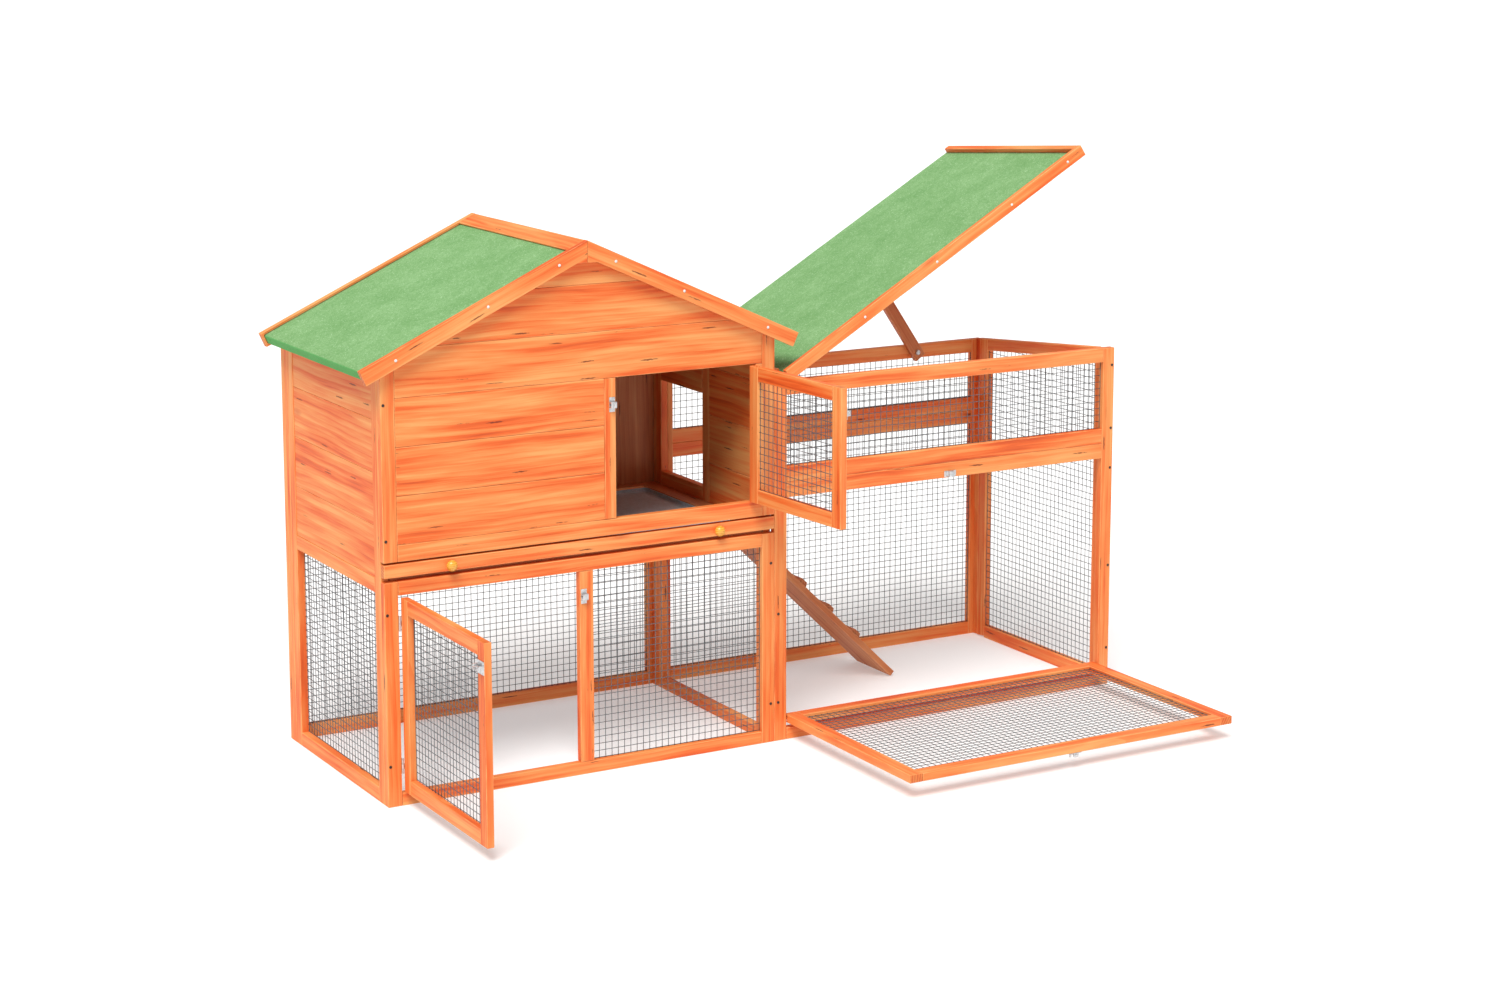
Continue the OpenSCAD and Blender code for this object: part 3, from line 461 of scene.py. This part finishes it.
def add_board(piece, bm, rng, radius=1.2 * MM, step=26 * MM):
    """One board: arrises eased, faces a hair uneven, small dents along the edges."""
    middle, turn = axes(bm)
    along = turn[0].copy()
    reach = [v.co.dot(along) for v in bm.verts]
    low, high = min(reach), max(reach)
    count = max(1, round((high - low) / step))
    for i in range(1, count):
        cut = low + (high - low) * (i + rng.uniform(-0.3, 0.3)) / count
        everything = bm.verts[:] + bm.edges[:] + bm.faces[:]
        bmesh.ops.bisect_plane(bm, geom=everything, dist=1e-7, plane_co=along * cut, plane_no=along)
    sharp = [e for e in bm.edges if e.calc_face_angle(0) > 0.3]
    eased = bmesh.ops.bevel(
        bm, geom=sharp, offset=radius * rng.uniform(0.85, 1.15), offset_type="OFFSET",
        segments=2, profile=0.5, affect="EDGES", clamp_overlap=True,
    )["faces"]
    seed = Vector([rng.uniform(-40, 40) for _ in range(3)])
    bm.normal_update()
    for vert in bm.verts:
        local = turn @ (vert.co - middle)
        gentle = noise.noise(Vector((local.x * 8, local.y * 30, local.z * 30)) + seed)
        dent = noise.noise(Vector((local.x * 70, local.y * 120, local.z * 120)) - seed)
        depth = 0.07 + 0.06 * gentle + max(0, dent - 0.38) * 1.6
        vert.co -= vert.normal * depth * MM
    bm.normal_update()
    offset = Vector([rng.uniform(-4, 4) for _ in range(3)])
    tint = [rng.random() for _ in range(3)]
    ends = {f for f in bm.faces if abs(f.normal.dot(along)) > 0.75}
    # the eased arris faces carry the mask for the paler arrises: partly worn, partly a painted highlight
    piece.add(bm, lambda p: turn @ (p - middle) + offset, tint, set(eased), ends)


def timber(node, material=None, radius=1.2 * MM, notched=False):
    """A node's boards. A notched board keeps its inner corners; the others lose only their bores."""
    material = material or FIR
    rng = random.Random(node)
    piece = Piece()
    for solid in islands(node):
        add_board(piece, as_drawn(solid) if notched else convex(solid[0]), rng, radius)
    return piece.finish(node + "_timber", body_of[node], material, [node])


def add_tube(piece, path, radius, side, sides=6):
    """A wire of even thickness along a path whose bends lie in one plane; side is across it."""
    bm = bmesh.new()
    loops = []
    for i, point in enumerate(path):
        before, after = path[max(i - 1, 0)], path[min(i + 1, len(path) - 1)]
        tangent = (after - before).normalized()
        first = (side - tangent * side.dot(tangent)).normalized()
        second = tangent.cross(first)
        loops.append([
            bm.verts.new(point + radius * (math.cos(a) * first + math.sin(a) * second))
            for a in (math.tau * k / sides for k in range(sides))
        ])
    for lower, upper in zip(loops, loops[1:]):
        for k in range(sides):
            n = (k + 1) % sides
            bm.faces.new((lower[k], lower[n], upper[n], upper[k]))
    bm.faces.new(loops[0][::-1])
    bm.faces.new(loops[-1])
    piece.add(bm, lambda p: p)


def crossing(outline, axis, value):
    """Where the line at value on one axis runs inside a convex outline."""
    hits = []
    for a, b in zip(outline, outline[1:] + outline[:1]):
        low, high = sorted((a[axis], b[axis]))
        if low <= value <= high and high - low > 1e-9:
            share = (value - a[axis]) / (b[axis] - a[axis])
            hits.append(a[1 - axis] + share * (b[1 - axis] - a[1 - axis]))
    return (min(hits), max(hits)) if len(hits) > 1 else None


WIRE_R = 0.62 * MM
WIRE_PITCH = 12.7 * MM
WIRE_TUCK = 1.2 * MM


def wire_mesh(node):
    """Welded wire in place of a plate, with its ends let into the frame round the opening."""
    rng = random.Random(node)
    piece = Piece()
    for points in solids(node):
        bm = convex(points)
        middle, turn = axes(bm)
        u, v, out = (turn[i].copy() for i in range(3))
        if abs(u.z) < abs(v.z):
            u, v = v, u
        face = max(bm.faces, key=lambda f: f.calc_area())
        outline = [((p.co - middle).dot(u), (p.co - middle).dot(v)) for p in face.verts]
        bm.free()
        seed = Vector([rng.uniform(-40, 40) for _ in range(3)])
        for axis, lift in ((0, -0.85 * WIRE_R), (1, 0.85 * WIRE_R)):
            run, step = (v, u) if axis == 0 else (u, v)
            low = min(p[axis] for p in outline) + WIRE_R
            high = max(p[axis] for p in outline) - WIRE_R
            count = round((high - low) / WIRE_PITCH)
            for i in range(count + 1):
                value = low + (high - low) * i / count
                ends = crossing(outline, axis, value)
                if ends is None or ends[1] - ends[0] < 4 * MM:
                    continue
                ends = (ends[0] - WIRE_TUCK, ends[1] + WIRE_TUCK)
                parts = max(2, round((ends[1] - ends[0]) / (20 * MM)))
                path = []
                for k in range(parts + 1):
                    t = ends[0] + (ends[1] - ends[0]) * k / parts
                    key = Vector((t * 14, value * 9, axis * 7)) + seed
                    sway = noise.noise(key) * 0.45 * MM
                    belly = noise.noise(key * 0.5 + UP * 9) * 0.5 * MM
                    at = middle + run * t + step * (value + sway) + out * (lift + belly)
                    path.append(at)
                add_tube(piece, path, WIRE_R, out)
    return piece.finish(node + "_wires", body_of[node], WIRE, [node], False)


def felt(node):
    """Felt laid on a board and folded down over its low edge."""
    rng = random.Random(node)
    piece = Piece()
    parts = solids(node)
    spans = []
    for points in parts:
        bm = convex(points)
        middle, turn = axes(bm)
        area = max(f.calc_area() for f in bm.faces)
        bm.free()
        spans.append((area, middle, turn, points))
    spans.sort(key=lambda s: -s[0])
    half = len(spans) // 2
    for _, middle, turn, points in spans[:half]:
        lip = min(spans[half:], key=lambda s: (s[1] - middle).length)
        up = turn[2].copy()
        if up.z < 0:
            up = -up
        guess = lip[1] - middle
        fall = max((turn[0].copy(), turn[1].copy()), key=lambda d: abs(guess.dot(d)))
        if guess.dot(fall) < 0:
            fall = -fall
        width = up.cross(fall)

        def spread(cloud, axis):
            reach = [(p - middle).dot(axis) for p in cloud]
            return min(reach), max(reach)

        u0, _ = spread(points, fall)
        in_u, out_u = spread(lip[3], fall)
        floor_w, top_w = spread(points, up)
        low_w, _ = spread(lip[3], up)
        v0, v1 = spread(points, width)
        bend = 2.6 * MM
        outer = [(u0, top_w - 0.8 * MM), (u0 + 0.8 * MM, top_w)]
        flat = round((out_u - bend - u0) / (9 * MM))
        outer += [(u0 + (out_u - bend - u0) * i / flat, top_w) for i in range(1, flat + 1)]
        for i in range(1, 6):
            angle = math.pi / 2 * i / 5
            outer.append((out_u - bend + bend * math.sin(angle), top_w - bend + bend * math.cos(angle)))
        outer += [(out_u, (top_w - bend + low_w) / 2), (out_u, low_w + 0.5 * MM), (out_u - 0.5 * MM, low_w)]
        inner = [(in_u, low_w), (in_u, floor_w), (u0, floor_w)]
        profile = outer + inner
        count = round((v1 - v0) / (9 * MM))
        bm = bmesh.new()
        seed = Vector([rng.uniform(-40, 40) for _ in range(3)])
        loops = []
        for k in range(count + 1):
            v = v0 + (v1 - v0) * k / count
            loop = []
            for i, (a, w) in enumerate(profile):
                if i < len(outer):
                    key = Vector((a * 22, v * 22, 0)) + seed
                    drop = 0.3 + 0.3 * noise.noise(key) + 0.15 * noise.noise(key * 4)
                    side = i >= len(outer) - 3
                    a -= drop * MM * side
                    w -= drop * MM * (not side)
                loop.append(bm.verts.new(middle + fall * a + up * w + width * v))
            loops.append(loop)
        faces = []
        size = len(profile)
        for one, two in zip(loops, loops[1:]):
            for i in range(size):
                n = (i + 1) % size
                faces.append((bm.faces.new((one[i], two[i], two[n], one[n])), i))
        bm.faces.new(loops[0])
        bm.faces.new(loops[-1][::-1])
        bmesh.ops.recalc_face_normals(bm, faces=bm.faces)
        # the folded faces carry the mask for the felt's darker lip, painted without the top's sheen
        folded = {f for f, i in faces if flat + 3 <= i < len(outer)}
        offset = Vector([rng.uniform(-3, 3) for _ in range(3)])
        piece.add(bm, lambda p: p + offset, wear=folded)
    return piece.finish(node + "_sheet", body_of[node], FELT, [node])


def add_lathe(piece, base, axis, profile, sides=24):
    """A turned shape from (radius, height) pairs, closed at both ends."""
    side = axis.orthogonal().normalized()
    other = axis.cross(side)
    bm = bmesh.new()
    loops = []
    for radius, height in profile:
        loops.append([
            bm.verts.new(base + axis * height + radius * (math.cos(a) * side + math.sin(a) * other))
            for a in (math.tau * k / sides for k in range(sides))
        ])
    for lower, upper in zip(loops, loops[1:]):
        for k in range(sides):
            n = (k + 1) % sides
            bm.faces.new((lower[k], lower[n], upper[n], upper[k]))
    bm.faces.new(loops[0][::-1])
    bm.faces.new(loops[-1])
    piece.add(bm, lambda p: p)


def add_screw(piece, base, axis, radius, height, turn):
    """A countersunk screw head with a cross recess."""
    side = axis.orthogonal().normalized()
    side = side * math.cos(turn) + axis.cross(side) * math.sin(turn)
    other = axis.cross(side)
    bm = bmesh.new()

    def ring(scale, lift, sides=24):
        return [
            bm.verts.new(base + axis * lift + radius * scale * (math.cos(a) * side + math.sin(a) * other))
            for a in (math.tau * k / sides for k in range(sides))
        ]

    rings = [ring(1, 0), ring(0.97, height * 0.55), ring(0.82, height * 0.9), ring(0.66, height)]
    for lower, upper in zip(rings, rings[1:]):
        for k in range(24):
            n = (k + 1) % 24
            bm.faces.new((lower[k], lower[n], upper[n], upper[k]))
    bm.faces.new(rings[0][::-1])
    arm, half = 0.52, 0.13
    corners = [(half, half), (half, arm), (-half, arm), (-half, half), (-arm, half), (-arm, -half),
               (-half, -half), (-half, -arm), (half, -arm), (half, -half), (arm, -half), (arm, half)]
    top = [bm.verts.new(base + axis * height + radius * (x * side + y * other)) for x, y in corners]
    low = [
        bm.verts.new(base + axis * height * 0.25 + radius * 0.8 * (x * side + y * other))
        for x, y in corners
    ]
    edges = [bm.edges.new((top[k], top[(k + 1) % 12])) for k in range(12)]
    rim = [bm.edges.get((rings[-1][k], rings[-1][(k + 1) % 24])) for k in range(24)]
    bmesh.ops.triangle_fill(bm, use_beauty=True, use_dissolve=False, edges=rim + edges)
    for k in range(12):
        n = (k + 1) % 12
        bm.faces.new((top[k], low[k], low[n], top[n]))
    bm.faces.new(low)
    bmesh.ops.recalc_face_normals(bm, faces=bm.faces)
    piece.add(bm, lambda p: p)


def middles(node):
    """Middle and size of each solid of a node."""
    found = []
    for points in solids(node):
        low = Vector([min(p[i] for p in points) for i in range(3)])
        high = Vector([max(p[i] for p in points) for i in range(3)])
        found.append(((low + high) / 2, high - low, low, high))
    return found


def nails(node):
    """Clout nails: low domed heads on the front of a board."""
    piece = Piece()
    for middle, size, _, high in middles(node):
        r, h = size.x / 2, size.y
        base = Vector((middle.x, high.y, middle.z))
        add_lathe(piece, base, FRONT, [
            (r * 0.96, 0), (r, h * 0.3), (r * 0.93, h * 0.6), (r * 0.7, h * 0.86), (r * 0.36, h), (r * 0.1, h)
        ])
    return piece.finish(node + "_heads", body_of[node], WHITE, [node])


def screws(node):
    rng = random.Random(node)
    piece = Piece()
    for middle, size, _, high in middles(node):
        base = Vector((middle.x, high.y, middle.z))
        add_screw(piece, base, FRONT, size.x / 2, size.y, rng.uniform(0, 1.5))
    return piece.finish(node + "_heads", body_of[node], DARK, [node])


def knobs(node):
    piece = Piece()
    for middle, size, low, high in middles(node):
        r, tall = size.x / 2, size.y
        shape = [(0.66, 0), (0.7, 0.02), (0.7, 0.07), (0.62, 0.12), (0.66, 0.16), (0.82, 0.22), (0.94, 0.31),
                 (0.995, 0.42), (0.985, 0.55), (0.91, 0.69), (0.77, 0.82), (0.57, 0.92), (0.34, 0.98),
                 (0.12, 1.0)]
        base = Vector((middle.x, high.y, middle.z))
        add_lathe(piece, base, FRONT, [(r * a, tall * b) for a, b in shape], 40)
    return piece.finish(node + "_turned", body_of[node], KNOB, [node], False)


def rounded(low, high, inset, corner, segments=6):
    """A level rounded rectangle, inset from two corners."""
    x0, y0, x1, y1 = low.x + inset, low.y + inset, high.x - inset, high.y - inset
    corner = max(corner - inset, 0.3 * MM)
    centres = ((x1 - corner, y1 - corner, 0), (x0 + corner, y1 - corner, 1),
               (x0 + corner, y0 + corner, 2), (x1 - corner, y0 + corner, 3))
    return [
        (cx + corner * math.cos(a), cy + corner * math.sin(a))
        for cx, cy, quarter in centres
        for a in (math.pi / 2 * (quarter + k / segments) for k in range(segments + 1))
    ]


def tray_pan(node):
    """A sheet-metal tray with soft corners, a rolled rim and a shallow stiffening bead."""
    low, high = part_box(node)
    lip = low.z + 8.6 * MM
    levels = [
        (30, 0.0), (24, 0.7), (18, 0.0), (3.2, 0.0), (1.2, 0.5), (0.25, 2.2), (0.1, 6.2), (0.0, 7.6), (0.5, 8.5),
        (1.4, 8.5), (1.9, 7.6), (1.4, 6.8), (1.0, 6.4), (1.05, 2.6), (2.0, 1.3), (3.8, 0.9), (18, 0.9), (24, 1.6),
        (30, 0.9),
    ]
    bm = bmesh.new()
    loops = []
    for inset, rise in levels:
        loops.append([
            bm.verts.new((x, y, low.z + rise * MM)) for x, y in rounded(low, high, inset * MM, 9 * MM)
        ])
    size = len(loops[0])
    for lower, upper in zip(loops, loops[1:]):
        for k in range(size):
            n = (k + 1) % size
            bm.faces.new((lower[k], lower[n], upper[n], upper[k]))
    bm.faces.new(loops[0])
    bm.faces.new(loops[-1])
    bmesh.ops.recalc_face_normals(bm, faces=bm.faces)
    piece = Piece()
    piece.add(bm, lambda p: p)
    return piece.finish(node + "_sheet", body_of[node], TRAY, [node])


def dress(node, material, bevel=0.3 * MM):
    """A CAD node whose shape is right: soft edges and its own finish."""
    made = nodes[node]
    made.data.materials.clear()
    made.data.materials.append(material)
    weld = made.modifiers.new("joined", "WELD")
    weld.merge_threshold = 0.01 * MM
    ease = made.modifiers.new("eased", "BEVEL")
    ease.width = bevel
    ease.segments = 2
    ease.limit_method = "ANGLE"
    ease.angle_limit = math.radians(40)
    made.modifiers.new("flat_faces", "WEIGHTED_NORMAL")


# ---------------------------------------------------------------- the hutch

for name in (
    "left_frame", "left_wall_planks", "front_pen_frame", "back_pen_frame", "right_frame",
    "right_wall_planks", "front_wall_frame", "front_wall_planks", "ridge_strips", "tray_front",
    "upper_door_frame", "lower_door_frame",
    "run_front_frame", "run_end_frame", "run_back_frame", "flap_frame", "lid_ledger", "lid_edging",
):
    timber(name)
for name in ("barge_boards_front", "barge_boards_back"):
    timber(name, radius=0.7 * MM, notched=True)
# floor, back, roof, lid, prop and ramp boards take the darker plain fir, partly painted shade
for name in (
    "floor_slats", "floor_trims", "back_wall_planks", "roof_board_left", "roof_board_right",
    "lid_board", "prop_stick", "ramp_board", "ramp_cleats",
):
    timber(name, PLAIN_FIR_WITH_PAINTED_SHADE)

for name in (
    "left_mesh", "front_pen_mesh", "back_pen_mesh", "upper_door_mesh", "lower_door_mesh",
    "run_front_mesh", "run_end_mesh", "run_back_mesh", "flap_mesh",
):
    wire_mesh(name)

felt("roof_felt")
felt("lid_felt")
nails("white_nails")
nails("lid_nails")
screws("frame_screws")
knobs("tray_knobs")
tray_pan("tray_pan")
for name in (
    "door_hinges", "bolt_keepers", "upper_door_leaves", "upper_bolt_case", "upper_bolt",
    "lower_door_leaves", "lower_bolt_case", "lower_bolt", "flap_pins", "flap_bolt_case",
    "flap_bolt", "lid_hinges", "lid_leaves", "prop_bolt", "ramp_hinge",
):
    dress(name, ZINC)


# ---------------------------------------------------------------- floor, light and camera


def studio_floor(half=60.0, parts=24):
    bm = bmesh.new()
    bmesh.ops.create_grid(bm, x_segments=parts, y_segments=parts, size=half)
    level = cad_box[0].z - 0.2 * MM
    for vert in bm.verts:
        vert.co.z = level
    mesh = bpy.data.meshes.new("studio_floor")
    bm.to_mesh(mesh)
    bm.free()
    mesh.materials.append(floor_material())
    made = bpy.data.objects.new("studio_floor", mesh)
    bpy.context.scene.collection.objects.link(made)


def soft_sun(name, towards, strength, spread, colour=(1, 1, 1)):
    """A distant soft light that comes from the given direction."""
    light = bpy.data.lights.new(name, "SUN")
    light.energy = strength
    light.angle = math.radians(spread)
    light.color = colour
    made = bpy.data.objects.new(name, light)
    made.rotation_euler = Vector(towards).to_track_quat("Z", "Y").to_euler()
    bpy.context.scene.collection.objects.link(made)


studio_floor()
world = bpy.data.worlds.new("soft_room")
world.use_nodes = True
world.node_tree.nodes["Background"].inputs["Color"].default_value = (1, 1, 1, 1)
world.node_tree.nodes["Background"].inputs["Strength"].default_value = 0.36
bpy.context.scene.world = world
soft_sun("key", (-0.36, -0.42, 0.83), 3.3, 30, (1, 0.99, 0.975))
soft_sun("fill", (0.6, 0.35, 0.72), 0.4, 60)
bpy.context.scene.view_settings.view_transform = "Standard"

camera = bpy.data.cameras.new("camera")
camera.lens = 67.66
camera.shift_y = -0.1
camera.sensor_width = 36
made = bpy.data.objects.new("camera", camera)
made.location = (-2.4945, -4.4825, 1.535)
yaw, pitch = math.radians(29.95), math.radians(9.375)
made.rotation_euler = (math.pi / 2 - pitch, 0, -yaw)
bpy.context.scene.collection.objects.link(made)
bpy.context.scene.camera = made
